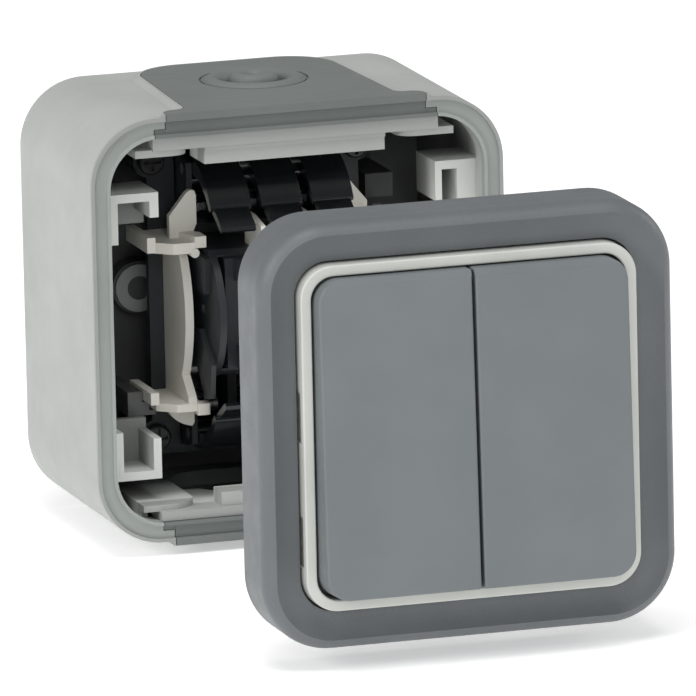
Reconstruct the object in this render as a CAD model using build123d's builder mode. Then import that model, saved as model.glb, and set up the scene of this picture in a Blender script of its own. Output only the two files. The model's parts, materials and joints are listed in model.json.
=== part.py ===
# Double rocker wall switch, surface mounting, splash-proof: a wall box with soft cable glands and a
# two-way switch mechanism, and a front (frame, trim ring, two keys) that plugs into it.
#
# Frame: millimetres, +Z up, the front faces -Y. The origin is the centre of the box's back face, so
# the wall is the plane y = 0. "h" is always the distance in front of the wall, so y = -h.
# The front is modelled pulled straight out of the box by `pull`.
from build123d import *
import math
import os

os.makedirs("parts", exist_ok=True)

# ---------------------------------------------------------------- driving dimensions
box_size = 74.0
box_depth = 43.7
box_corner = 11.5
wall = 2.4                     # side walls of the box
floor_wall = 2.2               # back wall of the box
rim_width = 3.4                # front flange: bead, seal groove, bead
bead = 0.6                     # each bead of the rim
groove_depth = 1.6
inner_bead_corner = 9.4         # outside of the inner bead, clear of the cover's skirt
seal_height = 1.0
pad_rise = 0.8                 # the glands stand this far above the box's faces

frame_size = 72.2
frame_corner = 11.7
frame_depth = 12.87            # behind the ring's front face
ring_size = 58.5
ring_stroke = 1.85
ring_corner = 5.6
opening = ring_size - 2 * ring_stroke      # the 55 mm insert format
key_block = 53.9               # both keys together, at their front face
key_gap = 0.36
key_proud = 3.6                # of the ring, with the key level
key_tilt = 2.2                 # degrees each side of level
pull = 81.8                    # how far the front stands out of the box

half_box = box_size / 2
ring_h = box_depth - groove_depth + seal_height + 0.3 + frame_depth + pull
key_pivot_h = ring_h - 4.0
gland_h = 19.0                 # cable axis of both glands, from the wall

# mechanism
module_half = 13.0
module_tall = 24.0
module_rear = 8.0
terminal_front = 17.0
middle_tall = 11.0
base_front = 27.0
cover_front = 33.0
lever_pitch = 9.2
lever_width = 7.4
tongue_width = 6.2
lever_axle = (21.0, 23.4)      # h, z of the upper lever axle
rocker_axle_h = 29.0
rocker_face = 41.0
teeter_h = 14.6
teeter_swing = 6.0
teeter_arm = 7.5
press_z = 8.0                  # where key studs meet the rockers
lug_offset = 9.4
key_centre = (key_block + key_gap) / 4

sides = {"left": -1, "right": 1}
rows = {"top": 1, "bottom": -1}


def wall_plane(h):
    """Sketch plane parallel to the wall at h, with X across and Z up; it faces the front."""
    return Plane.XZ.offset(h)


def save(part, name):
    part.label = name
    export_step(part, f"parts/{name}.step")


# ---------------------------------------------------------------- cable gland outline
lip_half = 23.3                # where the gland wraps over the rim
neck_half = 18.7
tail_half = 17.4
turn = 2.2
tail_corner = 8.9
gland_rear = 1.6
pad_border = 1.5               # sloped collar that the box raises round each gland


def gland_outline(grow=0.0):
    """Outline seen from above: wide at the rim, an S-bend inwards, round at the wall end."""
    front = -box_depth
    with BuildSketch() as outline:
        with BuildLine():
            side = Line((-lip_half, front), (-lip_half, front + 0.9))
            bend_in = TangentArc(side @ 1, (-lip_half + turn, front + 0.9 + turn), tangent=(0, 1))
            step = Line(bend_in @ 1, (-neck_half - turn, front + 0.9 + turn))
            bend_back = TangentArc(step @ 1, (-neck_half, front + 0.9 + 2 * turn), tangent=(1, 0))
            flank = Line(bend_back @ 1, (-tail_half, -gland_rear - tail_corner))
            corner = TangentArc(flank @ 1, (-tail_half + tail_corner, -gland_rear), tangent=(0, 1))
            Line(corner @ 1, (0, -gland_rear))
            Line((0, front), (-lip_half, front))
            mirror(about=Plane.YZ)
        make_face()
        if grow:
            offset(amount=grow)
    return outline.sketch


# ---------------------------------------------------------------- wall box
plate_rear, plate_front = 15.5, terminal_front  # mounting plate on the posts
rim_back = 4.6                 # the flange runs this far back from the front
boss_x = 18.0                  # wall screw bosses
post_x, post_z = 18.5, 24.4    # posts that carry the mechanism carrier
pocket_out = half_box - wall + 0.2
pocket_wall = 1.5
pocket_front, pocket_rear = 37.6, 27.0
column = 30.6                  # inner face of each pocket's outer column
# each latch pocket: its inner leg's place in x, then where its closed end, leg, back and column end in z
pockets = {
    ("left", "top"): (23.3, 24.9, 23.1, 18.7, 16.1, 14.4),
    ("right", "top"): (26.6, 27.8, 24.4, 17.4, 18.6, 14.4),
    ("left", "bottom"): (23.8, 25.2, 27.1, 20.0, 18.2, 18.6),
    ("right", "bottom"): (26.6, 27.8, 27.1, 20.0, 18.2, 18.6),
}
latch_rows = {"top": 18.3, "bottom": 22.0}  # middle of the latch legs that reach into them
latch_width = 5.4
rail_in, rail_out = 21.6, 23.1             # the brackets' rails, which lie in slots of the guide blocks
guide_in, guide_out, guide_front = 20.9, 25.9, 25.0
lower_lip = 25.3               # the gland's inner lip is a little wider than the outer one


def latch_pocket(across, up, inner, leg_side, closed_z, leg_z, back_z, column_z):
    """Open box on the side wall for a latch; the upper ones open downwards, the lower ones upwards."""
    plates = (
        (inner, pocket_out, back_z, closed_z, pocket_rear + pocket_wall),
        (inner, pocket_out, closed_z - pocket_wall, closed_z, pocket_front),
        (inner, leg_side, leg_z, closed_z, pocket_front),
        (column, pocket_out, column_z, closed_z, pocket_front),
    )
    with BuildPart() as pocket:
        for x_low, x_high, z_low, z_high, front in plates:
            with BuildSketch(wall_plane(pocket_rear)):
                with Locations((across * (x_low + x_high) / 2, up * (z_low + z_high) / 2)):
                    Rectangle(x_high - x_low, z_high - z_low)
            extrude(amount=front - pocket_rear)
    return pocket.part


with BuildPart() as box_shell:
    with BuildSketch(wall_plane(0)):
        RectangleRounded(box_size, box_size, box_corner)
    extrude(amount=box_depth)
    fillet(box_shell.edges().group_by(Axis.Y)[-1], 0.8)
    for up in rows.values():
        with BuildSketch(Plane.XY.offset(up * half_box)):
            add(gland_outline(pad_border))
        extrude(amount=up * pad_rise, taper=56)
        with BuildSketch(Plane.XY.offset(up * (half_box - 1))):
            add(gland_outline(0.45))
        extrude(amount=up * (1 + pad_rise))
    split(bisect_by=wall_plane(box_depth), keep=Keep.BOTTOM)
    with BuildSketch(wall_plane(floor_wall)):
        RectangleRounded(box_size - 2 * wall, box_size - 2 * wall, box_corner - wall)
    extrude(amount=box_depth - rim_back - floor_wall, mode=Mode.SUBTRACT)
    with BuildSketch(wall_plane(floor_wall + 1)):
        mouth = box_size - 2 * rim_width
        RectangleRounded(mouth, mouth, inner_bead_corner - bead)
    extrude(amount=box_depth, mode=Mode.SUBTRACT)
    with BuildSketch(wall_plane(box_depth)):
        outer = box_size - 2 * bead
        inner = box_size - 2 * (rim_width - bead)
        RectangleRounded(outer, outer, box_corner - bead)
    extrude(amount=-groove_depth, mode=Mode.SUBTRACT)
    for (side_name, row), sizes in pockets.items():
        add(latch_pocket(sides[side_name], rows[row], *sizes))
    # guide blocks on the side walls, wall-screw bosses and carrier posts
    for across in sides.values():
        for up in rows.values():
            with BuildSketch(wall_plane(floor_wall - 0.5)):
                with Locations((across * (guide_in + guide_out) / 2, up * 16.5)):
                    Rectangle(guide_out - guide_in, 4.2)
                if up < 0:
                    with Locations((across * (guide_in + rail_out) / 2, up * 15.1)):
                        Rectangle(rail_out - guide_in + 0.5, 2.4, mode=Mode.SUBTRACT)
                    with Locations((across * guide_in, up * 16.6)):
                        Rectangle(2.4, 2.4, mode=Mode.SUBTRACT)
            extrude(amount=(guide_front if up < 0 else plate_rear) - floor_wall + 0.5)
        with BuildSketch(wall_plane(floor_wall - 0.5)):
            with Locations((across * boss_x, 0)):
                Circle(4.6)
            with Locations((across * post_x, post_z), (across * post_x, -post_z)):
                Circle(2.6)
        extrude(amount=13.3)
        with BuildSketch(wall_plane(floor_wall + 4)):
            with Locations((across * boss_x, 0)):
                Circle(4.6)
        extrude(amount=20, mode=Mode.SUBTRACT)
        with BuildSketch(wall_plane(0)):
            with Locations((across * boss_x, 0)):
                Circle(2.6)
        extrude(amount=20, mode=Mode.SUBTRACT)
        with BuildSketch(wall_plane(15.0)):
            with Locations((across * post_x, post_z), (across * post_x, -post_z)):
                Circle(1.1)
        extrude(amount=-9, mode=Mode.SUBTRACT)
    # windows for the two glands, and four drain knock-outs pressed into the back
    for up in rows.values():
        with BuildSketch(Plane.XY.offset(up * (half_box - rim_width - 0.4))):
            add(gland_outline(0.14))
        extrude(amount=up * (rim_width + 2), mode=Mode.SUBTRACT)
        with BuildSketch(wall_plane(box_depth - 3.0)):
            with Locations((0, up * (half_box - rim_width + 0.4))):
                Rectangle(2 * lower_lip + 0.3, 2.2)
        extrude(amount=4, mode=Mode.SUBTRACT)
    with BuildSketch(wall_plane(0)):
        with Locations((0, 21), (0, -21)):
            Circle(7.5)
            Circle(6.3, mode=Mode.SUBTRACT)
    extrude(amount=0.7, mode=Mode.SUBTRACT)
save(box_shell.part, "box_shell")

with BuildPart() as rim_seal:
    with BuildSketch(wall_plane(box_depth - groove_depth)):
        RectangleRounded(outer, outer, box_corner - bead)
        RectangleRounded(mouth, mouth, inner_bead_corner - bead, mode=Mode.SUBTRACT)
    extrude(amount=seal_height)
    with BuildSketch(wall_plane(box_depth - groove_depth)):
        RectangleRounded(inner, inner, inner_bead_corner)
        RectangleRounded(mouth, mouth, inner_bead_corner - bead, mode=Mode.SUBTRACT)
    extrude(amount=groove_depth)
    with BuildSketch(wall_plane(box_depth - groove_depth)):
        Rectangle(2 * lip_half + 0.3, 2 * box_size)
        Rectangle(2 * lower_lip + 0.3, 2 * (half_box - rim_width + 1.5))
    extrude(amount=groove_depth, mode=Mode.SUBTRACT)
save(rim_seal.part, "rim_seal")

with BuildPart() as screw_grommets:
    with BuildSketch(wall_plane(0)):
        with Locations((boss_x, 0), (-boss_x, 0)):
            Circle(2.6)
            Circle(2.1, mode=Mode.SUBTRACT)
    extrude(amount=floor_wall + 4)
    with BuildSketch(wall_plane(floor_wall + 4)):
        with Locations((boss_x, 0), (-boss_x, 0)):
            Circle(4.2)
            Circle(2.1, mode=Mode.SUBTRACT)
    extrude(amount=0.8)
save(screw_grommets.part, "screw_grommets")

# ---------------------------------------------------------------- soft glands and their holders
gland_floor = half_box - rim_width
gland_top_z = half_box + pad_rise

with BuildPart() as gland:
    with BuildSketch(Plane.XY.offset(gland_floor)):
        add(gland_outline())
    extrude(amount=gland_top_z - gland_floor)
    for lip_tall, lip_front in ((1.4, box_depth - 0.7), (bead, box_depth)):
        with BuildSketch(wall_plane(box_depth - 2.8)):
            with Locations((0, gland_floor + lip_tall / 2)):
                Rectangle(2 * lower_lip, lip_tall)
        extrude(amount=lip_front - box_depth + 2.8)
    # hollow underside leaves a 1.6 mm skin
    with BuildSketch(Plane.XY.offset(gland_floor)):
        with Locations((0, -21.5)):
            RectangleRounded(30, 31, 7)
    extrude(amount=gland_top_z - gland_floor - 1.6, mode=Mode.SUBTRACT)
    # the rim's profile carried across the lip
    with BuildSketch(wall_plane(box_depth)):
        with Locations((0, half_box - bead - (rim_width - 2 * bead) / 2)):
            Rectangle(2 * lip_half + 1, rim_width - 2 * bead)
    extrude(amount=-(groove_depth - seal_height), mode=Mode.SUBTRACT)
    # pierceable membrane: sunk line, soft outer bulge, groove, raised ring, pit with a nub
    with BuildSketch(Plane.XY.offset(gland_top_z)):
        with Locations((0, -gland_h)):
            Circle(9.5)
            Circle(9.1, mode=Mode.SUBTRACT)
            Circle(8.8)
    extrude(amount=-0.35, mode=Mode.SUBTRACT)
    with BuildSketch(Plane.XY.offset(gland_top_z)):
        with Locations((0, -gland_h)):
            Circle(7.6)
    extrude(amount=-1.5, mode=Mode.SUBTRACT)
    with BuildSketch(Plane.XZ.offset(gland_h)):
        with BuildLine():
            Line((0, gland_top_z - 1.5), (0, gland_top_z + 0.2))
            nub = ThreePointArc((0, gland_top_z + 0.2), (0.5, gland_top_z + 0.05), (0.8, gland_top_z - 0.5))
            pit = Line(nub @ 1, (1.5, gland_top_z - 0.5))
            ring = ThreePointArc(pit @ 1, (2.7, gland_top_z + 1.2), (4.2, gland_top_z - 0.5))
            groove_z = gland_top_z - 1.35
            groove = FilletPolyline(ring @ 1, (4.5, groove_z), (5.6, groove_z), radius=0.3)
            bulge = ThreePointArc(groove @ 1, (6.9, gland_top_z + 0.55), (9.0, gland_top_z - 0.35))
            Polyline(bulge @ 1, (9.0, gland_top_z - 1.5), (0, gland_top_z - 1.5))
        make_face()
    revolve(axis=Axis((0, -gland_h, 0), (0, 0, 1)))
save(gland.part, "gland_top")

with BuildPart() as gland_bottom:
    add(gland.part)
    mirror(about=Plane.XY, mode=Mode.REPLACE)
save(gland_bottom.part, "gland_bottom")

holder_front = 43.0
holder_edge = gland_floor - 0.1            # face that presses on the gland


def holder_bar(half_width, rear, front, z_low, z_high):
    """Straight bar of a holder, across the box."""
    with BuildPart() as bar:
        with BuildSketch(Plane.XY.offset(z_low)):
            with Locations((0, -(rear + front) / 2)):
                Rectangle(2 * half_width, front - rear)
        extrude(amount=z_high - z_low)
    return bar.part


def holder_ear(across, x_in, x_out, rear, front, radius, z_low, thick):
    """Flat ear beyond the end of the bar, with one large round corner towards the middle."""
    with BuildPart() as ear:
        with BuildSketch(Plane.XY.offset(z_low)) as flat:
            with Locations((across * (x_in + x_out) / 2, -(rear + front) / 2)):
                Rectangle(x_out - x_in, front - rear)
            inner_front = flat.vertices().group_by(Axis.Y)[0].sort_by(Axis.X)[-1 if across < 0 else 0]
            fillet(inner_front, radius)
        extrude(amount=thick)
    return ear.part


with BuildPart() as holder_top:
    add(holder_bar(25.6, 31.0, holder_front, 31.3, holder_edge))
    add(holder_bar(16.2, 33.5, holder_front - 1.0, 28.2, 30.6))
    add(holder_bar(16.2, 33.5, holder_front - 0.5, 30.5, 31.4))
    for across in sides.values():
        add(holder_ear(across, 18.8, 28.6, 34.5, holder_front - 0.8, 3.2, 30.1, 1.3))
save(holder_top.part, "holder_top")

tongue_out = 28.4
with BuildPart() as holder_bottom:
    add(holder_bar(25.6, 27.0, holder_front, 31.9, holder_edge))
    add(holder_bar(14.6, 37.5, holder_front - 0.7, 29.4, 32.0))
    with BuildSketch(Plane.XY.offset(28)):
        with Locations((0, -gland_h)):
            Circle(16.2)
    extrude(amount=8, mode=Mode.SUBTRACT)
    for across in sides.values():
        add(holder_ear(across, 18.3, tongue_out, 21.0, 41.6, 5.2, 30.9, 1.1))
        with BuildSketch(Plane.XY.offset(30.9)):
            with Locations((across * (tongue_out - 0.7), -30.0)):
                Rectangle(1.4, 18.0)
        extrude(amount=holder_edge - 30.9)
    mirror(about=Plane.XY, mode=Mode.REPLACE)
save(holder_bottom.part, "holder_bottom")

# ---------------------------------------------------------------- mechanism carrier
cheek = 1.0                    # side plates that hold the lever axles

with BuildPart() as mounting_plate:
    with BuildSketch(wall_plane(plate_rear)):
        RectangleRounded(38.4, 55, 2)
        with GridLocations(2 * post_x, 2 * post_z, 2, 2):
            Circle(3.0)
        Rectangle(2 * (module_half + cheek) + 0.5, 2 * module_tall + 4.0, mode=Mode.SUBTRACT)
        with GridLocations(2 * post_x, 2 * post_z, 2, 2):
            Circle(1.6, mode=Mode.SUBTRACT)
    extrude(amount=plate_front - plate_rear)
save(mounting_plate.part, "mounting_plate")

blade_in, blade_out = 15.1, 16.6
shelf_in, shelf_out = module_half + cheek + 0.2, 18.6
shelf_front = 30.8
shelf_low, shelf_high = 10.4, 12.3         # upper shelf
foot_low, foot_high = -17.4, -16.0         # lower shelf


def side_bracket(across, name):
    """Bracket beside the module: two shelves with upright fins, an arched blade and two rails."""
    with BuildPart() as bracket:
        for low_z, high_z in ((shelf_low, shelf_high), (foot_low, foot_high)):
            with BuildSketch(Plane.XY.offset(low_z)) as shelf:
                with BuildLine():
                    Polyline((across * shelf_in, -plate_front), (across * shelf_in, -shelf_front),
                             (across * shelf_out, -shelf_front), (across * (rail_in + 0.1), -28.0),
                             (across * (rail_in + 0.1), -plate_front), close=True)
                make_face()
                fillet(shelf.vertices().group_by(Axis.Y)[0], 0.8)
            extrude(amount=high_z - low_z)
        # raised tab towards the module on the upper shelf, hook on the lower one
        with BuildSketch(Plane.XY.offset(shelf_high - 1.0)):
            with BuildLine():
                Polyline((across * 16.4, -25.4), (across * 14.9, -shelf_front - 0.2),
                         (across * (module_half - 0.1), -shelf_front - 0.2), (across * (module_half - 0.1), -27.2),
                         (across * shelf_in, -25.4), close=True)
            make_face()
        extrude(amount=2.0)
        with BuildSketch(Plane.XY.offset(foot_low - 0.7)):
            with Locations((across * (module_half + 1.0), -shelf_front + 0.9)):
                RectangleRounded(2.4, 2.6, 0.4)
        extrude(amount=2.0)
        # upright fins: pointed above, round below
        with BuildSketch(wall_plane(24.4)):
            with BuildLine():
                Polyline((across * 17.9, shelf_high - 0.5), (across * 17.9, 16.2), (across * 14.8, 20.0),
                         (across * 14.1, 20.5), (across * 13.3, 20.4), (across * 13.0, 19.6),
                         (across * 13.0, 14.6), (across * shelf_in, shelf_high - 0.5), close=True)
            make_face()
            with BuildLine():
                bow = ThreePointArc((across * 19.4, foot_low + 0.4), (across * 17.2, -20.0), (across * 14.6, -21.0))
                Polyline(bow @ 1, (across * shelf_in, -20.4), (across * shelf_in, foot_low + 0.4), bow @ 0)
            make_face()
        extrude(amount=1.4)
        # arched blade between the shelves
        with BuildSketch(Plane.YZ.offset(across * blade_in)):
            with BuildLine():
                foot = Polyline((-plate_front, shelf_low + 0.3), (-plate_front, foot_high - 0.3),
                                (-shelf_front, foot_high - 0.3), (-30.4, -14.9), (-26.8, -11.6))
                arch = ThreePointArc(foot @ 1, (-29.8, -1.5), (-26.0, shelf_low + 0.3))
                Line(arch @ 1, foot @ 0)
            make_face()
        extrude(amount=across * (blade_out - blade_in))
        # rails, and a nub under the upper shelf
        with BuildSketch(wall_plane(plate_front)):
            with Locations((across * (rail_in + rail_out) / 2, 12.1)):
                Rectangle(rail_out - rail_in, 2.7)
            with Locations((across * (rail_in + rail_out) / 2, -14.95)):
                Rectangle(rail_out - rail_in, 2.1)
        extrude(amount=12.6)
        with BuildSketch(wall_plane(28.6)):
            with Locations((across * 14.9, shelf_low)):
                Circle(0.8)
        extrude(amount=2.3)
    save(bracket.part, name)


for side_name, across in sides.items():
    side_bracket(across, f"side_bracket_{side_name}")

with BuildPart() as carrier_screws:
    with BuildSketch(wall_plane(plate_front)):
        with GridLocations(2 * post_x, 2 * post_z, 2, 2):
            Circle(2.3)
    extrude(amount=1.5)
    fillet(carrier_screws.edges().group_by(Axis.Y)[0], 0.5)
    with BuildSketch(wall_plane(plate_front)):
        with GridLocations(2 * post_x, 2 * post_z, 2, 2):
            Circle(1.05)
    extrude(amount=-9.5)
    with BuildSketch(wall_plane(plate_front + 1.5)):
        with GridLocations(2 * post_x, 2 * post_z, 2, 2):
            Rectangle(3.2, 0.6)
            Rectangle(0.6, 3.2)
    extrude(amount=-0.8, mode=Mode.SUBTRACT)
save(carrier_screws.part, "carrier_screws")

# ---------------------------------------------------------------- switch module
cell_wall = 1.2
cell_width = module_half - cell_wall - cell_wall / 2
cell_x = cell_wall / 2 + cell_width / 2
cell_tall = 2 * (middle_tall - cell_wall)
axle_h, axle_z = lever_axle

with BuildPart() as module_base:
    with BuildSketch(wall_plane(module_rear)):
        RectangleRounded(2 * module_half, 2 * module_tall, 1.0)
    extrude(amount=terminal_front - module_rear)
    with BuildSketch(wall_plane(terminal_front)):
        Rectangle(2 * module_half, 2 * middle_tall)
    extrude(amount=base_front - terminal_front)
    # contact cells
    with BuildSketch(wall_plane(module_rear + 1.6)):
        with Locations((cell_x, 0), (-cell_x, 0)):
            Rectangle(cell_width, cell_tall)
    extrude(amount=base_front, mode=Mode.SUBTRACT)
    # three terminal pockets above and three below, each with two wire holes to the rear
    for up in rows.values():
        with BuildSketch(wall_plane(module_rear + 1.6)):
            with Locations((0, up * 17.6)):
                with GridLocations(lever_pitch, 0, 3, 1):
                    Rectangle(7.6, 10.0)
        extrude(amount=terminal_front, mode=Mode.SUBTRACT)
        with BuildSketch(wall_plane(module_rear)):
            with Locations((0, up * 18.6)):
                with GridLocations(lever_pitch, 0, 3, 1):
                    with GridLocations(3.8, 0, 2, 1):
                        Circle(1.5)
        extrude(amount=3, mode=Mode.SUBTRACT)
    # cheeks that hold the lever axles
    for across in sides.values():
        with BuildSketch(Plane.YZ.offset(across * module_half)):
            for up in rows.values():
                with BuildLine():
                    Polyline((-module_rear - 2, up * 12), (-terminal_front - 3, up * 12),
                             (-axle_h - 2.6, up * (axle_z - 3)), (-axle_h - 2.6, up * (axle_z + 1.4)),
                             (-axle_h + 1.6, up * (axle_z + 2.4)), (-module_rear - 2, up * (axle_z + 0.6)),
                             close=True)
                make_face()
                with Locations((-axle_h, up * axle_z)):
                    Circle(1.02, mode=Mode.SUBTRACT)
        extrude(amount=across * cheek)
save(module_base.part, "module_base")

with BuildPart() as module_cover:
    with BuildSketch(wall_plane(base_front)):
        Rectangle(2 * module_half, 2 * middle_tall)
        with Locations((cell_x, 0), (-cell_x, 0)):
            Rectangle(cell_width, cell_tall, mode=Mode.SUBTRACT)
    extrude(amount=cover_front - base_front)
    chamfer(module_cover.edges().group_by(Axis.Y)[0].filter_by(Axis.X).sort_by(Axis.Z)[-1], 0.8)
    chamfer(module_cover.edges().group_by(Axis.Y)[0].filter_by(Axis.X).sort_by(Axis.Z)[0], 0.8)
    with BuildSketch(Plane.YZ.offset(-module_half)):
        with Locations((-rocker_axle_h, 0)):
            Circle(1.02)
    extrude(amount=2 * module_half, mode=Mode.SUBTRACT)
    # flank plates with a bowed front edge, and a snap hook at each end of both flanks
    for across in sides.values():
        with BuildSketch(Plane.YZ.offset(across * (module_half - cell_wall))):
            with BuildLine():
                Line((-base_front, 10.4), (-cover_front, 10.4))
                ThreePointArc((-cover_front, 10.4), (-38.6, -2.0), (-cover_front, -middle_tall))
                Polyline((-cover_front, -middle_tall), (-base_front, -middle_tall), (-base_front, 10.4))
            make_face()
            with Locations((-rocker_axle_h, 0)):
                Circle(1.02, mode=Mode.SUBTRACT)
        extrude(amount=across * cell_wall)
        with BuildSketch(Plane.YZ.offset(across * module_half)):
            with BuildLine():
                Polyline((-32.6, 3.4), (-33.4, 9.6), (-27.0, 10.2), (-20.4, 8.4), (-20.4, 4.6),
                         (-27.0, 3.0), close=True)
            make_face()
            with BuildLine():
                Polyline((-29.0, -3.4), (-35.6, -8.6), (-34.6, -14.6), (-31.0, -15.4), (-27.5, -10.6),
                         (-20.4, -8.4),
                         (-20.4, -4.6), close=True)
            make_face()
        extrude(amount=across * 0.9)
save(module_cover.part, "module_cover")

with BuildPart() as rocker_axle:
    with BuildSketch(Plane.YZ.offset(-module_half + 0.2)):
        with Locations((-rocker_axle_h, 0)):
            Circle(1.0)
    extrude(amount=2 * module_half - 0.4)
save(rocker_axle.part, "rocker_axle")

with BuildPart() as lever_axles:
    with BuildSketch(Plane.YZ.offset(-module_half - cheek)):
        with Locations((-axle_h, axle_z), (-axle_h, -axle_z)):
            Circle(1.0)
    extrude(amount=2 * (module_half + cheek))
save(lever_axles.part, "lever_axles")


# ---------------------------------------------------------------- terminal release levers
def release_lever(x_mid, up, name):
    """Curved flap over a terminal, turning on the axle, with a narrow thumb tongue in front."""
    with BuildPart() as lever:
        with BuildSketch(Plane.YZ.offset(x_mid - lever_width / 2)):
            with BuildLine():
                crown = ThreePointArc((-axle_h + 1.5, up * 25.5), (-28.0, up * 24.4), (-33.9, up * 18.9))
                lip = Line(crown @ 1, (-33.0, up * 18.0))
                under = ThreePointArc(lip @ 1, (-27.4, up * 22.2), (-axle_h + 1.5, up * 21.9))
                Line(under @ 1, crown @ 0)
            make_face()
            with Locations((-33.4, up * 18.6)):
                Circle(0.65)
            with Locations((-axle_h, up * axle_z)):
                Circle(2.1)
                Circle(1.05, mode=Mode.SUBTRACT)
        extrude(amount=lever_width)
        with BuildSketch(Plane.YZ.offset(x_mid - tongue_width / 2)):
            with BuildLine():
                Polyline((-32.6, up * 19.4), (-34.2, up * 18.4), (-38.2, up * 16.0), (-38.4, up * 15.3),
                         (-37.7, up * 14.9), (-32.9, up * 17.7), close=True)
            make_face()
        extrude(amount=tongue_width)
    save(lever.part, name)


with BuildPart() as lever_dividers:
    for up in rows.values():
        with BuildSketch(Plane.YZ.offset(-lever_pitch / 2 - 0.45)):
            with BuildLine():
                Polyline((-base_front - 1, up * middle_tall), (-cover_front, up * middle_tall),
                         (-38.3, up * 13.8), (-37.6, up * 15.6), (-31.5, up * 16.6), (-base_front - 1, up * 16.6),
                         close=True)
            make_face()
        extrude(amount=0.9)
    mirror(about=Plane.YZ)
save(lever_dividers.part, "lever_dividers")

lever_names = {-1: "left", 0: "middle", 1: "right"}
for row, up in rows.items():
    for column_index, column_name in lever_names.items():
        release_lever(column_index * lever_pitch, up, f"release_lever_{row}_{column_name}")

with BuildPart() as clamp_springs:
    for up in rows.values():
        for column_index in lever_names:
            with BuildSketch(Plane.YZ.offset(column_index * lever_pitch - 2.6)):
                with BuildLine():
                    leaf = FilletPolyline((-10.2, up * 13.6), (-10.2, up * 21.6), (-16.2, up * 21.6),
                                          (-11.4, up * 15.4), radius=1.4)
                    offset(leaf, amount=0.3, side=Side.BOTH)
                make_face()
            extrude(amount=5.2)
save(clamp_springs.part, "clamp_springs")

# ---------------------------------------------------------------- contacts

with BuildPart() as common_contacts:
    for across in sides.values():
        with BuildSketch(Plane.YZ.offset(across * cell_x - 2)):
            with BuildLine():
                Polyline((-module_rear - 1.6, -2.6), (-module_rear - 2.6, -2.6), (-module_rear - 2.6, -0.8),
                         (-teeter_h + 0.55, 0), (-module_rear - 2.6, 0.8), (-module_rear - 2.6, 2.6),
                         (-module_rear - 1.6, 2.6), close=True)
            make_face()
        extrude(amount=4)
save(common_contacts.part, "common_contacts")

tip_reach = teeter_arm * math.sin(math.radians(teeter_swing))
fixed_front = teeter_h - tip_reach - 1.1

with BuildPart() as traveller_contacts:
    for across in sides.values():
        for up in rows.values():
            with BuildSketch(wall_plane(module_rear + 1.6)):
                with Locations((across * cell_x, up * 7.0)):
                    Rectangle(4.4, 4.0)
            extrude(amount=fixed_front - module_rear - 1.6)
save(traveller_contacts.part, "traveller_contacts")

with BuildPart() as contact_tips:
    for across in sides.values():
        for up in rows.values():
            with BuildSketch(wall_plane(fixed_front)):
                with Locations((across * cell_x, up * 7.0)):
                    Circle(1.4)
            extrude(amount=0.35)
save(contact_tips.part, "contact_tips")


def teeter_contact(across, name):
    """Tilting contact bridge, at rest with its lower end on the lower fixed contact."""
    with BuildPart() as teeter:
        with BuildSketch(wall_plane(teeter_h)):
            with Locations((across * cell_x, 0)):
                RectangleRounded(4.6, 2 * teeter_arm + 2, 0.8)
        extrude(amount=0.8)
        with BuildSketch(wall_plane(teeter_h)):
            with Locations((across * cell_x, 7.0), (across * cell_x, -7.0)):
                Circle(1.3)
        extrude(amount=-0.35)
        with BuildSketch(Plane.YZ.offset(across * cell_x - 2)):
            with Locations((-teeter_h, 0)):
                Circle(0.45)
        extrude(amount=4)
    turned = teeter.part.rotate(Axis((0, -teeter_h, 0), (1, 0, 0)), teeter_swing)
    save(turned, name)


for side_name, across in sides.items():
    teeter_contact(across, f"teeter_contact_{side_name}")

# ---------------------------------------------------------------- rockers, plungers and springs
rocker_turn = Axis((0, -rocker_axle_h, 0), (1, 0, 0))
plunger_tip = teeter_h + 0.8 + 0.45


def rocker(across, name):
    """Actuator: a saddle on the axle, two posts that the key studs push, and the plunger tube."""
    with BuildPart() as saddle:
        with BuildSketch(Plane.YZ.offset(across * cell_x - 4.6)):
            with BuildLine():
                Polyline((-30.0, -9.2), (-33.6, -9.6), (-rocker_face, -9.4), (-rocker_face, -6.6),
                         (-35.0, -5.6),
                         (-35.0, 5.6), (-rocker_face, 6.6), (-rocker_face, 9.4), (-33.6, 9.6), (-30.0, 9.2),
                         (-26.4, 3.4), (-26.4, -3.4), close=True)
            make_face()
        extrude(amount=9.2)
        for flank in (-1, 1):
            with BuildSketch(wall_plane(35.0)):
                with Locations((across * cell_x + flank * 4.2, 0)):
                    Rectangle(2.4, 24)
            extrude(amount=8, mode=Mode.SUBTRACT)
        fillet(saddle.edges().filter_by(Axis.X).group_by(Axis.Y)[0], 0.6)
        with BuildSketch(wall_plane(18.6)):
            with Locations((across * cell_x, 0)):
                Circle(2.7)
        extrude(amount=8.6)
        with BuildSketch(wall_plane(18.6)):
            with Locations((across * cell_x, 0)):
                Circle(1.75)
        extrude(amount=8.2, mode=Mode.SUBTRACT)
        with BuildSketch(Plane.YZ.offset(across * cell_x - 6)):
            with Locations((-rocker_axle_h, 0)):
                Circle(1.05)
        extrude(amount=12, mode=Mode.SUBTRACT)
    save(saddle.part.rotate(rocker_turn, -key_tilt), name)


def plunger(across, name):
    """Round-nosed pin that slides the teeter contact over."""
    with BuildPart() as pin:
        with BuildSketch(wall_plane(plunger_tip)):
            with Locations((across * cell_x, 0)):
                Circle(1.7)
        extrude(amount=6.0)
        fillet(pin.edges().group_by(Axis.Y)[-1], 1.3)
    save(pin.part.rotate(rocker_turn, -key_tilt), name)


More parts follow.
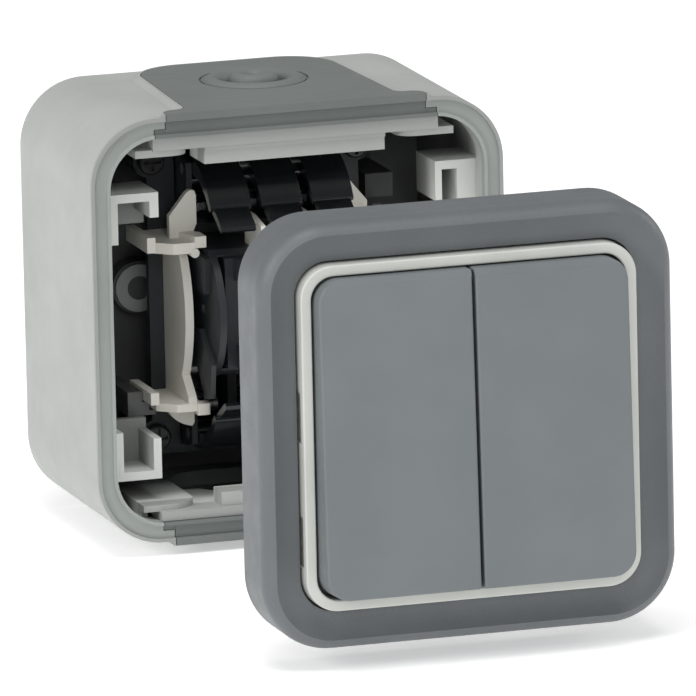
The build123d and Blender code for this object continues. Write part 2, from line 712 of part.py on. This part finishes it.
def plunger_spring(across, name):
    """Coil spring between the plunger and the rocker."""
    with BuildPart() as coil:
        with BuildLine() as turns:
            Helix(pitch=1.05, height=4.2, radius=1.25, center=(across * cell_x, -plunger_tip - 6.25, 0),
                  direction=(0, -1, 0))
        with BuildSketch(Plane(origin=turns.line @ 0, z_dir=turns.line % 0)):
            Circle(0.2)
        sweep(path=turns.line)
    save(coil.part.rotate(rocker_turn, -key_tilt), name)


for side_name, across in sides.items():
    rocker(across, f"rocker_{side_name}")
    plunger(across, f"plunger_{side_name}")
    plunger_spring(across, f"plunger_spring_{side_name}")

# ---------------------------------------------------------------- front: frame and trim ring
half_frame = frame_size / 2
shoulder = 4.2                 # how far behind the ring's face the frame's side starts to curve in
crest_inset, crest_drop = 1.9, 0.5
collar_in = ring_size / 2 + 0.4
collar_out = collar_in + 1.5
skirt_wall = 1.5
latch_end = ring_h - 22.0

with BuildPart() as cover_frame:
    with BuildSketch(wall_plane(ring_h - frame_depth)):
        RectangleRounded(frame_size, frame_size, frame_corner)
    extrude(amount=frame_depth - shoulder)
    # the shoulder curves in to the crest, and the face falls hollow from the crest to the ring
    for inset, drop in ((0, shoulder), (0.45, 1.9), (crest_inset, crest_drop)):
        with BuildSketch(wall_plane(ring_h - drop)):
            RectangleRounded(frame_size - 2 * inset, frame_size - 2 * inset, frame_corner - inset)
    loft()
    for inset, drop in ((crest_inset - 0.12, crest_drop - 0.05), (3.9, 1.75), (half_frame - collar_in, 2.4)):
        with BuildSketch(wall_plane(ring_h - drop)):
            RectangleRounded(frame_size - 2 * inset, frame_size - 2 * inset, frame_corner - inset * 0.94)
    loft(mode=Mode.SUBTRACT)
    with BuildSketch(wall_plane(ring_h - frame_depth - 1)):
        RectangleRounded(2 * collar_in, 2 * collar_in, ring_corner + 0.3)
    extrude(amount=frame_depth + 2, mode=Mode.SUBTRACT)
    # hollow between the skirt and the inner collar
    with BuildSketch(wall_plane(ring_h - frame_depth)):
        hollow = frame_size - 2 * skirt_wall
        RectangleRounded(hollow, hollow, frame_corner - skirt_wall)
        RectangleRounded(2 * collar_out, 2 * collar_out, ring_corner + 1.8, mode=Mode.SUBTRACT)
    extrude(amount=frame_depth - 4.6, mode=Mode.SUBTRACT)
    with BuildSketch(wall_plane(ring_h - frame_depth)):
        RectangleRounded(hollow, hollow, frame_corner - skirt_wall)
    extrude(amount=frame_depth - 9.6, mode=Mode.SUBTRACT)
    # stiffening webs in the hollow
    with BuildSketch(wall_plane(ring_h - 9.6)):
        for angle in (0, 90, 180, 270):
            with Locations(Rotation(0, 0, angle)):
                wedge_x = half_frame - skirt_wall / 2 - 1.7
                with Locations((wedge_x, 8), (wedge_x, -8)):
                    Rectangle(3.6, 1.0)
    extrude(amount=6)
    # four latch legs behind the collar
    for across in sides.values():
        for row, up in rows.items():
            with BuildSketch(Plane.XY.offset(up * latch_rows[row] - latch_width / 2)):
                with BuildLine():
                    inner_x, outer_x = across * collar_in, across * (collar_out - 0.1)
                    leg_in, leg_out = across * 28.7, across * 30.2
                    Polyline((outer_x, -ring_h + 6), (outer_x, -ring_h + 12.5), (leg_out, -ring_h + 15.5),
                             (leg_out, -latch_end), (leg_in, -latch_end),
                             (leg_in - across * 0.5, -latch_end - 2.2), (leg_in, -latch_end - 3.2),
                             (leg_in, -ring_h + 14), (inner_x, -ring_h + 11), (inner_x, -ring_h + 6), close=True)
                make_face()
            extrude(amount=latch_width)
save(cover_frame.part, "cover_frame")

ring_back = ring_h - 6.4

with BuildPart() as trim_ring:
    with BuildSketch(wall_plane(ring_back)):
        RectangleRounded(ring_size, ring_size, ring_corner)
        RectangleRounded(opening, opening, ring_corner - 1.7, mode=Mode.SUBTRACT)
    extrude(amount=ring_h - ring_back)
    fillet(trim_ring.edges().group_by(Axis.Y)[0], 0.3)
    # shallow finger notches in both outer flanks
    for across in sides.values():
        with BuildSketch(Plane.YZ.offset(across * (ring_size / 2 + 0.2))):
            with Locations((-ring_h + 3.2, 3.6), (-ring_h + 3.2, -17.5)):
                Rectangle(3.6, 8.6)
        extrude(amount=-across * 0.55, mode=Mode.SUBTRACT)
save(trim_ring.part, "trim_ring")

# ---------------------------------------------------------------- key support, seal and pins
support_size = ring_size
support_front = ring_back
support_back = support_front - 1.8
pin_radius = 1.25

with BuildPart() as key_support:
    with BuildSketch(wall_plane(support_back)):
        RectangleRounded(support_size, support_size, ring_corner)
        for across in sides.values():
            with Locations((across * key_centre, press_z), (across * key_centre, -press_z)):
                RectangleRounded(7, 7, 1, mode=Mode.SUBTRACT)
            with Locations((across * key_centre, 20), (across * key_centre, -20)):
                RectangleRounded(15, 6, 1.5, mode=Mode.SUBTRACT)
    extrude(amount=support_front - support_back)
    for across in sides.values():
        for lug in (-1, 1):
            with BuildSketch(Plane.YZ.offset(across * key_centre + lug * lug_offset - 0.8)):
                with BuildLine():
                    Polyline((-support_back, -3.4), (-key_pivot_h, -2.2), (-key_pivot_h, 2.2),
                             (-support_back, 3.4),
                             close=True)
                make_face()
                with Locations((-key_pivot_h, 0)):
                    Circle(2.2)
                    Circle(pin_radius + 0.02, mode=Mode.SUBTRACT)
            extrude(amount=1.6)
    # rear ribs
    with BuildSketch(wall_plane(support_back)):
        with Locations((0, 14), (0, -14)):
            Rectangle(52, 1.1)
        Rectangle(1.1, 50)
    extrude(amount=-2.6)
save(key_support.part, "key_support")

with BuildPart() as splash_seal:
    with BuildSketch(wall_plane(support_back)):
        RectangleRounded(support_size - 0.6, support_size - 0.6, ring_corner - 0.3)
        RectangleRounded(support_size - 4.6, support_size - 4.6, ring_corner - 2.3, mode=Mode.SUBTRACT)
    extrude(amount=-1.6)
    fillet(splash_seal.edges().group_by(Axis.Y)[-1], 0.5)
save(splash_seal.part, "splash_seal")

with BuildPart() as stud_sleeves:
    with BuildSketch(wall_plane(support_back)):
        for across in sides.values():
            with Locations((across * key_centre, press_z), (across * key_centre, -press_z)):
                RectangleRounded(10, 9.6, 2)
                RectangleRounded(6.4, 6.4, 1, mode=Mode.SUBTRACT)
    extrude(amount=-1.2)
save(stud_sleeves.part, "stud_sleeves")

with BuildPart() as key_pivot_pins:
    for across in sides.values():
        with BuildSketch(Plane.YZ.offset(across * key_centre - lug_offset - 1.1)):
            with Locations((-key_pivot_h, 0)):
                Circle(pin_radius)
        extrude(amount=2 * (lug_offset + 1.1))
save(key_pivot_pins.part, "key_pivot_pins")

# ---------------------------------------------------------------- keys
key_back = ring_h - 3.0
key_front = ring_h + key_proud
draft = 1.0
spread = (key_front - key_back) * math.tan(math.radians(draft))
stud_tip = ring_h - pull - rocker_face - 0.3


bevel_tall, bevel_deep = 1.3, 0.9


def key(across, name):
    """One key: drafted shell with a soft edge, ribs, two pivot ears and two studs."""
    inner_x = across * (key_gap / 2 - 0.02)
    outer_x = across * (key_block / 2 + spread)
    tall = key_block / 2 + spread
    middle = (inner_x + outer_x) / 2
    with BuildPart() as shell:
        with BuildSketch(wall_plane(key_back)) as outline:
            with Locations((middle, 0)):
                Rectangle(abs(outer_x - inner_x), 2 * tall)
            corners = outline.vertices().group_by(Axis.X)
            fillet(corners[-1 if across > 0 else 0], 4.2)
            fillet(outline.vertices().group_by(Axis.X)[0 if across > 0 else -1], 0.5)
        extrude(amount=key_front - key_back, taper=draft)
        # narrow bevel along the top edge of the face
        face_top = shell.faces().sort_by(Axis.Y)[0].bounding_box().max.Z
        with BuildSketch(Plane.YZ.offset(middle - key_block / 2)):
            with BuildLine():
                Polyline((-key_front - 1, face_top - bevel_tall - 1), (-key_front, face_top - bevel_tall),
                         (bevel_deep - key_front, face_top + 0.2), (bevel_deep - key_front, face_top + 3),
                         (-key_front - 1, face_top + 3), close=True)
            make_face()
        extrude(amount=key_block, mode=Mode.SUBTRACT)
        fillet(shell.faces().sort_by(Axis.Y)[0].edges(), 0.4)
        with BuildSketch(wall_plane(key_back)):
            with Locations((middle, 0)):
                RectangleRounded(abs(outer_x - inner_x) - 3.4, 2 * tall - 3.4, 2.6)
        extrude(amount=key_front - key_back - 1.8, mode=Mode.SUBTRACT)
        inside = key_front - 1.6
        with BuildSketch(wall_plane(inside)):
            with Locations((middle, 15), (middle, -15)):
                Rectangle(24.5, 1.0)
            with Locations((middle, 20.5), (middle, -20.5)):
                Rectangle(1.0, 10)
        extrude(amount=-2.6)
        # pivot ears
        for ear in (-1, 1):
            with BuildSketch(Plane.YZ.offset(across * key_centre + ear * (lug_offset - 2.0) - 0.8)):
                with BuildLine():
                    Polyline((-inside, -3.6), (-key_pivot_h, -2.2), (-key_pivot_h, 2.2), (-inside, 3.6),
                             close=True)
                make_face()
                with Locations((-key_pivot_h, 0)):
                    Circle(2.1)
                    Circle(pin_radius + 0.05, mode=Mode.SUBTRACT)
            extrude(amount=1.6)
        # studs that push the rocker
        with BuildSketch(wall_plane(inside)):
            with Locations((across * key_centre, press_z), (across * key_centre, -press_z)):
                Rectangle(4.4, 1.3)
                Rectangle(1.3, 4.4)
        extrude(amount=-(inside - ring_h + stud_tip))
    save(shell.part.rotate(Axis((0, -key_pivot_h, 0), (1, 0, 0)), -key_tilt), name)


for side_name, across in sides.items():
    key(across, f"key_{side_name}")
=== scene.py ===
# Looks of the double rocker wall switch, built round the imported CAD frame. Metres, +Z up, front to -Y.
import json
import math

import bpy
from mathutils import Matrix, Vector


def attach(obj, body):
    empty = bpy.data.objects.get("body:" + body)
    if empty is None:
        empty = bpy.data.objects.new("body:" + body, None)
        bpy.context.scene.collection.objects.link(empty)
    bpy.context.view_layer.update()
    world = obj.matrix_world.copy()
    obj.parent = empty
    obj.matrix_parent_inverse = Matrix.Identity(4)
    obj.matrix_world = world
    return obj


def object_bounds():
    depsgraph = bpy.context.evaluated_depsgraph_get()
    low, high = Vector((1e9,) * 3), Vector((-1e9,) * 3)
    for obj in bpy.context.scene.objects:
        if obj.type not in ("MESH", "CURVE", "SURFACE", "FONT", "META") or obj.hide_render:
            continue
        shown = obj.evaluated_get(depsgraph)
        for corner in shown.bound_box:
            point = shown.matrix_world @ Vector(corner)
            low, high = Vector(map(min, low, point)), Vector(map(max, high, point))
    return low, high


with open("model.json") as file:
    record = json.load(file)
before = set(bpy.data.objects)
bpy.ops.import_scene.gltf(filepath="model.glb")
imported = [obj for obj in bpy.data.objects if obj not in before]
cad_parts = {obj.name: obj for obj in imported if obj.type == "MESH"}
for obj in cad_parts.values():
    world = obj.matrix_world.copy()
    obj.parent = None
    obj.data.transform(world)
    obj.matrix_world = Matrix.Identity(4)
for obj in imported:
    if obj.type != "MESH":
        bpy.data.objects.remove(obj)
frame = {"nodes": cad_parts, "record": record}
cad_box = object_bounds()
nodes = frame["nodes"]
smooth_angle = math.radians(28)            # sharper edges than this stay crisp
inner_half = 0.0346                        # half the width between the box walls
inner_corner = 0.0641                      # |x| + |z| at the middle of the inner round corners
pocket_face = 0.0376                       # the corner pockets' front faces, from the wall
lip_face = 0.0432                          # just behind the box's front edge, from the wall
# the strip round the pale ring is a dark sheet of painted shade in the gap
shade_strip_in, shade_strip_out = 0.0292, 0.0297         # half widths of the strip round the pale ring
shade_strip_rear, shade_strip_front = 0.1331, 0.1337     # its two faces, from the wall
corner_in, corner_out = 0.00555, 0.00595   # its inner and outer corner radii
screw_x, screw_seal = 0.018, 0.0022        # wall-screw holes: distance from the middle, disc radius
disc_depth, disc_thick = 0.0062, 0.0006    # the discs' middle from the wall, and their thickness


# ---------------------------------------------------------------- camera
def make_camera():
    """Long-lens camera: front left, a little above."""
    azimuth, elevation, roll = math.radians(-17.372), math.radians(11.946), math.radians(-1.266)
    distance, lens, sensor, farthest = 2.5856, 763.282759, 36.0, 20.0
    target = Vector((0.021948, 0.0, -0.015412))
    back = Vector((math.sin(azimuth) * math.cos(elevation), -math.cos(azimuth) * math.cos(elevation),
                   math.sin(elevation)))
    level_right = (-back).cross(Vector((0, 0, 1))).normalized()
    level_up = level_right.cross(-back)
    right = math.cos(roll) * level_right + math.sin(roll) * level_up
    up = -math.sin(roll) * level_right + math.cos(roll) * level_up
    data = bpy.data.cameras.new("camera")
    data.sensor_width = sensor
    data.lens = lens
    data.clip_end = farthest
    camera = bpy.data.objects.new("camera", data)
    camera.matrix_world = Matrix.Translation(target + back * distance) @ Matrix(
        (right, up, back)).transposed().to_4x4()
    bpy.context.scene.collection.objects.link(camera)
    bpy.context.scene.camera = camera


# ---------------------------------------------------------------- studio
def area_light(name, place, aim, size, power):
    """Rectangular lamp that points at aim."""
    data = bpy.data.lights.new(name, "AREA")
    data.shape = "RECTANGLE"
    data.size, data.size_y = size
    data.energy = power
    lamp = bpy.data.objects.new(name, data)
    lamp.location = place
    lamp.rotation_euler = (Vector(aim) - Vector(place)).to_track_quat("-Z", "Y").to_euler()
    bpy.context.scene.collection.objects.link(lamp)


def make_studio():
    """Pale floor, white surroundings and four soft lamps."""
    lowest, _ = cad_box
    gap, reach = 0.0005, 8.0
    floor_z = lowest[2] - gap
    mesh = bpy.data.meshes.new("floor")
    mesh.from_pydata([(-reach, -reach, floor_z), (reach, -reach, floor_z), (reach, reach, floor_z),
                      (-reach, reach, floor_z)], [], [(0, 1, 2, 3)])
    floor = bpy.data.objects.new("floor", mesh)
    bpy.context.scene.collection.objects.link(floor)
    material = bpy.data.materials.new("pale_floor")
    material.use_nodes = True
    shader = material.node_tree.nodes["Principled BSDF"]
    shader.inputs["Base Color"].default_value = (0.9, 0.9, 0.9, 1)
    shader.inputs["Roughness"].default_value = 0.95
    shader.inputs["Emission Color"].default_value = (1, 1, 1, 1)
    shader.inputs["Emission Strength"].default_value = 0.38
    mesh.materials.append(material)
    world = bpy.data.worlds.new("studio")
    world.use_nodes = True
    world.node_tree.nodes["Background"].inputs["Color"].default_value = (1, 1, 1, 1)
    world.node_tree.nodes["Background"].inputs["Strength"].default_value = 0.36
    bpy.context.scene.world = world
    bpy.context.scene.view_settings.view_transform = "Standard"
    centre = (0, -0.07, 0)
    for name, place, size, power in (
            ("top_soft", (-0.15, -0.45, 1.3), (0.8, 0.6), 9),
            ("key_left", (-1.3, -0.5, 0.7), (0.5, 0.6), 8),
            ("front_fill", (-0.3, -1.9, 0.7), (0.6, 0.5), 6),
            ("right_rim", (1.2, 0.1, 0.5), (0.3, 0.6), 3)):
        area_light(name, place, centre, size, power)


# ---------------------------------------------------------------- materials
class Material:
    """One node material; the textures work in object space, in metres."""

    def __init__(self, name, color, roughness, **sockets):
        self.material = bpy.data.materials.new(name)
        self.material.use_nodes = True
        self.tree = self.material.node_tree
        self.shader = self.tree.nodes["Principled BSDF"]
        self.color = tuple(color) + (1,)
        self.shader.inputs["Base Color"].default_value = self.color
        self.shader.inputs["Roughness"].default_value = roughness
        for socket, value in sockets.items():
            self.shader.inputs[socket.replace("_", " ")].default_value = value
        self.position = self.tree.nodes.new("ShaderNodeTexCoord").outputs["Object"]
        self.normal = None

    def noise(self, scale, detail=2.0, roughness=0.5):
        node = self.tree.nodes.new("ShaderNodeTexNoise")
        node.inputs["Scale"].default_value = scale
        node.inputs["Detail"].default_value = detail
        node.inputs["Roughness"].default_value = roughness
        self.tree.links.new(self.position, node.inputs["Vector"])
        return node.outputs["Fac"]

    def ramp(self, value, low, high, out_low, out_high):
        node = self.tree.nodes.new("ShaderNodeMapRange")
        sockets = ("From Min", "From Max", "To Min", "To Max")
        for socket, number in zip(sockets, (low, high, out_low, out_high)):
            node.inputs[socket].default_value = number
        self.tree.links.new(value, node.inputs["Value"])
        return node.outputs["Result"]

    def combine(self, operation, *values):
        node = self.tree.nodes.new("ShaderNodeMath")
        node.operation = operation
        for socket, value in zip(node.inputs, values):
            self.tree.links.new(value, socket)
        return node.outputs["Value"]

    def bump(self, height, strength, distance):
        node = self.tree.nodes.new("ShaderNodeBump")
        node.inputs["Strength"].default_value = strength
        node.inputs["Distance"].default_value = distance
        self.tree.links.new(height, node.inputs["Height"])
        if self.normal is not None:
            self.tree.links.new(self.normal, node.inputs["Normal"])
        self.normal = node.outputs["Normal"]
        self.tree.links.new(self.normal, self.shader.inputs["Normal"])
        return self

    def tint(self, value, other, amount=1.0):
        """Mixes the base colour towards other by value."""
        node = self.tree.nodes.new("ShaderNodeMix")
        node.data_type = "RGBA"
        scale = self.ramp(value, 0.35, 0.65, 0.0, amount)
        self.tree.links.new(scale, node.inputs["Factor"])
        node.inputs["A"].default_value = self.color
        node.inputs["B"].default_value = tuple(other) + (1,)
        self.tree.links.new(node.outputs["Result"], self.shader.inputs["Base Color"])
        return self

    def layer(self, amount, color):
        """Lays a colour over what the base colour shows so far."""
        mix = self.tree.nodes.new("ShaderNodeMix")
        mix.data_type = "RGBA"
        mix.inputs["B"].default_value = tuple(color) + (1,)
        self.tree.links.new(amount, mix.inputs["Factor"])
        base = self.shader.inputs["Base Color"]
        self.tree.links.new(base.links[0].from_socket, mix.inputs["A"])
        self.tree.links.new(mix.outputs["Result"], base)

    def gloss(self, value, low, high):
        self.tree.links.new(self.ramp(value, 0.3, 0.7, low, high), self.shader.inputs["Roughness"])
        return self


def moulded(name, color, roughness, grain=5200.0, depth=0.00003, strength=0.35, mottle=0.04):
    """Injection-moulded plastic: spark-eroded grain, faint flow mottling, uneven gloss."""
    material = Material(name, color, roughness)
    darker = tuple(c * (1 - mottle * 2) for c in color)
    material.tint(material.noise(65, 3), darker)
    material.gloss(material.noise(240, 4), roughness - 0.05, roughness + 0.06)
    material.bump(material.noise(grain, 3, 0.6), strength, depth)
    return material


def paint_shade_and_light_inside(material):
    """Paints light and shade by depth inside the box: painted shadow on the front edge, painted light on
    the pocket faces, painted shade towards the back wall.

    The painted shade has no rear limit, so the outer back face takes it too.
    """
    wall_blend, corner_blend, lip_blend, face_blend = 0.0006, 0.001, 0.0005, 0.001
    # painted light on the pocket faces fades out from 2 mm to 6 mm behind them
    bright_from, bright_to = 0.002, 0.006     # behind the pocket faces
    # painted shade grows from 3 mm to 14 mm behind the pocket faces
    dark_from, dark_to, darkest = 0.003, 0.014, 0.9
    split = material.tree.nodes.new("ShaderNodeSeparateXYZ")
    material.tree.links.new(material.position, split.inputs["Vector"])
    depth = split.outputs["Y"]
    sizes = [material.combine("ABSOLUTE", split.outputs[axis]) for axis in ("X", "Z")]
    reach = [material.ramp(size, inner_half, inner_half + wall_blend, 1.0, 0.0) for size in sizes]
    within = material.combine("MULTIPLY", *reach)
    corner = material.combine("ADD", *sizes)
    round_off = material.ramp(corner, inner_corner, inner_corner + corner_blend, 1.0, 0.0)
    inside = material.combine("MULTIPLY", within, round_off)
    deep = material.ramp(depth, -pocket_face + dark_from, -pocket_face + dark_to, 0.0, darkest)
    # painted shade towards the back wall, inside the walls only
    dark = material.combine("MULTIPLY", inside, deep)
    near = material.ramp(depth, -pocket_face + bright_from, -pocket_face + bright_to, 1.0, 0.0)
    mouth = material.ramp(depth, -pocket_face - face_blend, -pocket_face, 0.0, 1.0)
    # painted light on the pocket faces
    bright = material.combine("MULTIPLY", inside, material.combine("MULTIPLY", near, mouth))
    # painted shadow along the box's front edge, where the frame's shadow falls
    lip = material.ramp(depth, -lip_face, -lip_face + lip_blend, 1.0, 0.0)
    for amount, color in ((lip, (0.31, 0.325, 0.315)), (bright, (0.72, 0.73, 0.7)),
                          (dark, (0.035, 0.038, 0.038))):
        material.layer(amount, color)
    return material


def make_materials():
    """The finish of every material slot of the record."""
    made = {
        # the box's grey carries painted shade, painted light and a painted shadow
        "box_grey": paint_shade_and_light_inside(moulded("box_grey", (0.42, 0.435, 0.42), 0.5)),
        "cover_grey": moulded("cover_grey", (0.122, 0.134, 0.141), 0.44, grain=2600, depth=0.00008,
                              strength=0.75),
        "key_grey": moulded("key_grey", (0.155, 0.173, 0.18), 0.46, strength=0.2),
        "ring_pale": moulded("ring_pale", (0.58, 0.59, 0.555), 0.45, strength=0.2),
        "soft_gland": moulded("soft_gland", (0.155, 0.172, 0.167), 0.62, grain=3500),
        "soft_seal": moulded("soft_seal", (0.33, 0.355, 0.34), 0.6, grain=3500),
        # a dark copy of the soft seal: its darkness is painted shade deep in the box and in the ring's gap
        "membrane": moulded("membrane", (0.07, 0.075, 0.073), 0.6, grain=3500),
        "support_grey": moulded("support_grey", (0.34, 0.35, 0.34), 0.5),
        "ivory_plastic": moulded("ivory_plastic", (0.84, 0.82, 0.75), 0.5),
        "black_plastic": moulded("black_plastic", (0.021, 0.025, 0.029), 0.42),
        "lever_black": moulded("lever_black", (0.007, 0.009, 0.011), 0.22, strength=0.12),
        "white_nylon": moulded("white_nylon", (0.62, 0.61, 0.56), 0.45),
        "black_steel": moulded("black_steel", (0.03, 0.03, 0.032), 0.3, strength=0.15),
    }
    metals = {
        "zinc_steel": ((0.60, 0.61, 0.62), 0.34),
        "spring_steel": ((0.55, 0.55, 0.57), 0.26),
        "contact_brass": ((0.72, 0.50, 0.24), 0.3),
        "silver_tip": ((0.80, 0.79, 0.76), 0.25),
    }
    for name, (color, roughness) in metals.items():
        metal = Material(name, color, roughness, Metallic=1.0)
        metal.gloss(metal.noise(900, 4), roughness - 0.08, roughness + 0.14)
        metal.bump(metal.noise(4000, 3), 0.2, 0.00002)
        made[name] = metal
    return {name: material.material for name, material in made.items()}


def screw_membranes(made):
    """Thin soft discs that close the wall-screw holes until a screw is driven through."""
    for side, name in ((-1, "left"), (1, "right")):
        bpy.ops.mesh.primitive_cylinder_add(vertices=40, radius=screw_seal, depth=disc_thick,
                                            location=(side * screw_x, -disc_depth, 0),
                                            rotation=(math.pi / 2, 0, 0))
        disc = bpy.context.object
        disc.name = f"screw_membrane_{name}"
        # their dark colour is painted shade deep inside the box
        disc.data.materials.append(made["membrane"])
        disc.data.shade_smooth()
        disc.data.set_sharp_from_angle(angle=smooth_angle)
        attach(disc, "box")


def rounded_loop(half, corner, y, steps=10):
    """Points round a square with round corners, across the front's axis."""
    points = []
    for quarter, (side_x, side_z) in enumerate(((1, 1), (-1, 1), (-1, -1), (1, -1))):
        for step in range(steps + 1):
            turn = math.radians(90 * (quarter + step / steps))
            points.append((side_x * (half - corner) + corner * math.cos(turn), y,
                           side_z * (half - corner) + corner * math.sin(turn)))
    return points


def ring_gap_shade_strip(made):
    """Dark strip of painted shade deep in the gap between the pale ring and the frame's collar."""
    loops = [rounded_loop(half, corner, y) for half, corner, y in (
        (shade_strip_out, corner_out, -shade_strip_front), (shade_strip_in, corner_in, -shade_strip_front),
        (shade_strip_in, corner_in, -shade_strip_rear), (shade_strip_out, corner_out, -shade_strip_rear))]
    count = len(loops[0])
    vertices = [point for loop in loops for point in loop]
    faces = [(a * count + i, a * count + (i + 1) % count, b * count + (i + 1) % count, b * count + i)
             for a, b in ((0, 1), (1, 2), (2, 3), (3, 0)) for i in range(count)]
    mesh = bpy.data.meshes.new("ring_gap_shade_strip")
    mesh.from_pydata(vertices, [], faces)
    seal = bpy.data.objects.new("ring_gap_shade_strip", mesh)
    bpy.context.scene.collection.objects.link(seal)
    mesh.materials.append(made["membrane"])
    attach(seal, "front")


def dress_nodes(made):
    """Every CAD node takes its slot's material and smooth shading; the cover frame's edges are softened."""
    for row in frame["record"]["subparts"]:
        piece = nodes[row["node"]]
        piece.data.materials.clear()
        piece.data.materials.append(made[row["material_slot"]])
        piece.data.shade_smooth()
        piece.data.set_sharp_from_angle(angle=smooth_angle)
    softened = nodes["cover_frame"].modifiers.new("soft_crest", "BEVEL")
    softened.width = 0.0005
    softened.segments = 3
    softened.limit_method = "ANGLE"
    softened.angle_limit = smooth_angle
    softened.harden_normals = True


make_camera()
make_studio()
materials = make_materials()
dress_nodes(materials)
screw_membranes(materials)
ring_gap_shade_strip(materials)
